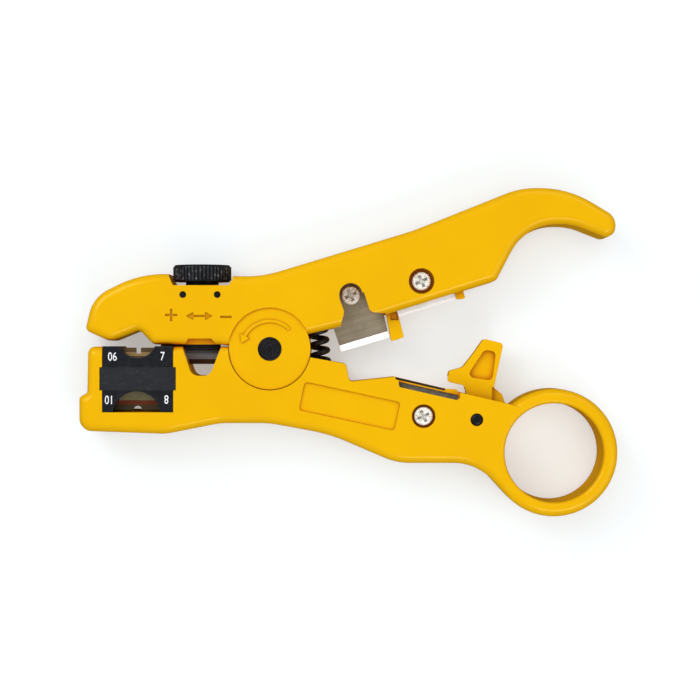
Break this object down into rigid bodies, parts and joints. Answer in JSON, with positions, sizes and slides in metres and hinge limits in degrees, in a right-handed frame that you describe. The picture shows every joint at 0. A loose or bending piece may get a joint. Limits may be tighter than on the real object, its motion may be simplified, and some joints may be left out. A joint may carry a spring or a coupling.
{
  "type": "cable stripping tool",
  "caption": "Hand-held plastic cable stripper and cutter, clothes-peg style, with finger ring, reversible notched cassette, knurled adjusting wheel and locking lever.",
  "frame": {"origin": "on the pivot axis, on the plane of the back faces that the tool lies on", "axes": "+X along the handles towards the finger ring, +Y towards the upper handle, +Z through the thickness towards the front face"},
  "size_m": [0.135, 0.0824, 0.016],
  "materials": {
    "yellow_plastic": "semi-gloss moulded ABS",
    "black_plastic": "satin moulded",
    "black_metal": "black oxide",
    "blade_steel": "ground",
    "zinc_steel": "zinc plated",
    "brass": "turned"
  },
  "bodies": {
    "lower_arm": {"lower_arm": "yellow_plastic", "pivot_pin": "black_metal", "pivot_retainer": "black_metal", "return_spring": "black_metal", "lower_strip_blade": "blade_steel", "lower_spacer": "yellow_plastic", "lower_holder_screw": "zinc_steel", "latch_pin": "black_metal"},
    "upper_arm": {"upper_arm": "yellow_plastic", "cutter_blade": "blade_steel", "cutter_blade_screw": "zinc_steel", "upper_strip_blade": "blade_steel", "blade_guard": "yellow_plastic", "upper_holder_screw": "zinc_steel", "wheel_pins": "black_metal"},
    "latch": {"latch_lever": "yellow_plastic"},
    "thumbwheel": {"thumbwheel": "black_plastic", "adjusting_screw": "zinc_steel"},
    "slide_block": {"blade_slider": "black_plastic", "slider_nut": "brass", "round_cable_blade": "blade_steel"},
    "cassette": {"cassette_front": "black_plastic", "cassette_core": "black_plastic", "cassette_back": "black_plastic", "small_notch_jacket_blade": "blade_steel", "small_notch_core_blade": "blade_steel", "large_notch_jacket_blade": "blade_steel", "large_notch_core_blade": "blade_steel", "cassette_pins": "zinc_steel"}
  },
  "joints": [
    {"name": "arm_pivot", "type": "hinge", "parent": "lower_arm", "child": "upper_arm", "pos_m": [0, 0, 0.008], "axis": [0, 0, 1], "range_deg": [-28, 0], "stiffness_Nm_per_rad": 0.6, "springref_deg": 20.05, "deforming": ["return_spring"]},
    {"name": "latch_pivot", "type": "hinge", "parent": "lower_arm", "child": "latch", "pos_m": [0.0518, -0.0177, 0.008], "axis": [0, 0, 1], "range_deg": [0, 13]},
    {"name": "wheel_spin", "type": "hinge", "parent": "upper_arm", "child": "thumbwheel", "pos_m": [-0.0174, 0.019, 0.008], "axis": [0, 1, 0], "range_deg": [-2450, 362]},
    {"name": "blade_adjust", "type": "slide", "parent": "upper_arm", "child": "slide_block", "axis": [0, 1, 0], "range_m": [-0.0005, 0.0034]},
    {"name": "cassette_slide", "type": "slide", "parent": "lower_arm", "child": "cassette", "axis": [0, 0, 1], "range_m": [0, 0.02]}
  ],
  "couplings": [
    {"joint": "wheel_spin", "follows": "blade_adjust", "rad_per_m": -12566}
  ]
}
